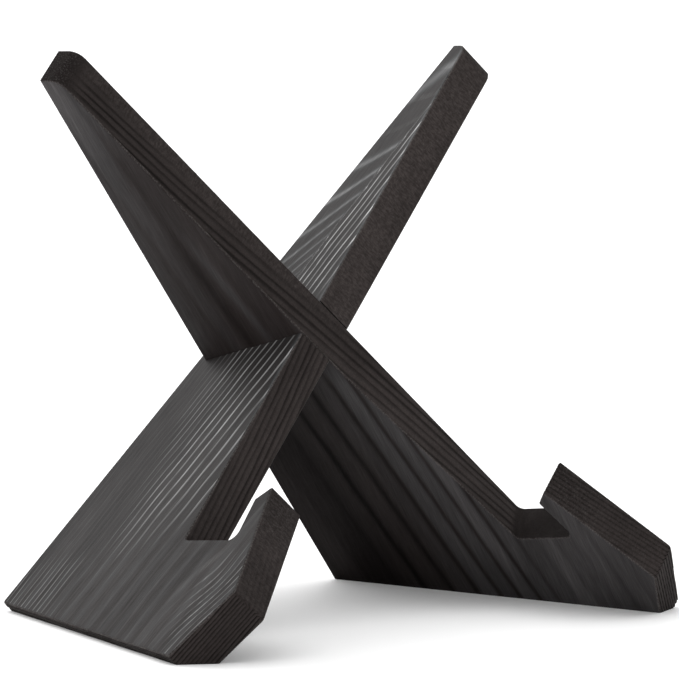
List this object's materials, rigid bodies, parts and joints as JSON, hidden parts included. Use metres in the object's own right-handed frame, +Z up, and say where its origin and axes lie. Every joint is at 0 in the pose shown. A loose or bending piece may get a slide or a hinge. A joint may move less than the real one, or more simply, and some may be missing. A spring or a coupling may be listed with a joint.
{
  "type": "two-piece record sleeve display stand",
  "caption": "Black-stained wooden X stand: mirrored boards in a cross-lap joint, with leaning arms and hooked feet that hold a record sleeve upright.",
  "frame": {"origin": "on the supporting surface, at the middle of the stand's width and depth", "axes": "+X to the viewer's right, -Y the front, where the hooks are, +Z up"},
  "size_m": [0.2358, 0.1432, 0.1948],
  "materials": {
    "left_board_wood": "black-stained, brushed softwood, satin",
    "right_board_wood": "black-stained, brushed softwood, satin"
  },
  "bodies": {
    "left_board": {"left_foot_board": "left_board_wood"},
    "right_board": {"right_foot_board": "right_board_wood"}
  },
  "joints": [
    {"name": "lap_slide", "type": "slide", "parent": "left_board", "child": "right_board", "axis": [0, -0.9636, 0.2672], "range_m": [0, 0.06]}
  ]
}
